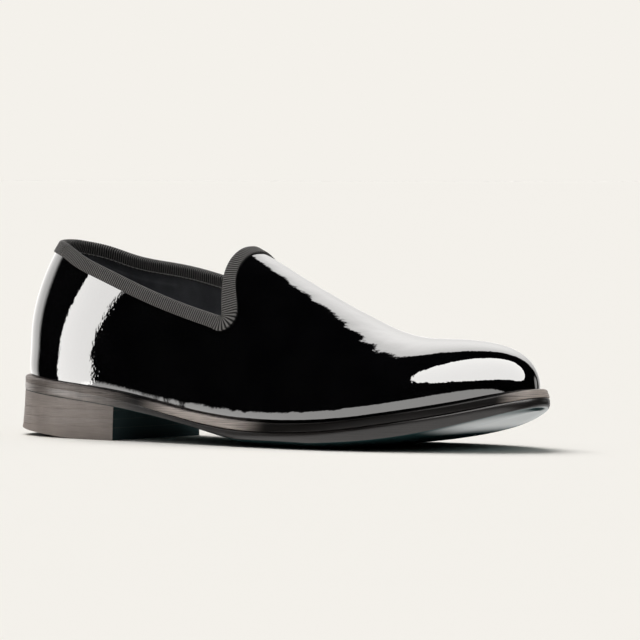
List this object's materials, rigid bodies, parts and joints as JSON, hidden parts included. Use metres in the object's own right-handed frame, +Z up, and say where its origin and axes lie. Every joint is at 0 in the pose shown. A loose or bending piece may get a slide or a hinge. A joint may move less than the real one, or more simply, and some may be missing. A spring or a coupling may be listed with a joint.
{
  "type": "patent leather loafer",
  "caption": "Black patent leather slip-on dress shoe for the right foot, with a tongue-shaped vamp, ribbon-bound topline, layered sole edge and low stacked heel.",
  "frame": {"origin": "middle of the shoe's box, on the floor", "axes": "+X towards the toe, +Y towards the inner side of the foot, +Z up"},
  "size_m": [0.3034, 0.0988, 0.0957],
  "materials": {
    "patent_leather": "mirror gloss patent coat on black leather",
    "ribbon": "matt ribbed ribbon",
    "insole_leather": "satin lining leather",
    "sole_edge": "inked and burnished edge",
    "outsole_leather": "inked and burnished edge, dark tread",
    "heel_leather": "burnished stacked leather",
    "top_piece_rubber": "satin rubber"
  },
  "bodies": {
    "root": {"upper": "patent_leather", "binding": "ribbon", "insole": "insole_leather", "midsole": "sole_edge", "outsole": "outsole_leather", "heel_lift_1": "heel_leather", "heel_lift_2": "heel_leather", "heel_lift_3": "heel_leather", "top_piece": "top_piece_rubber"}
  },
  "joints": []
}
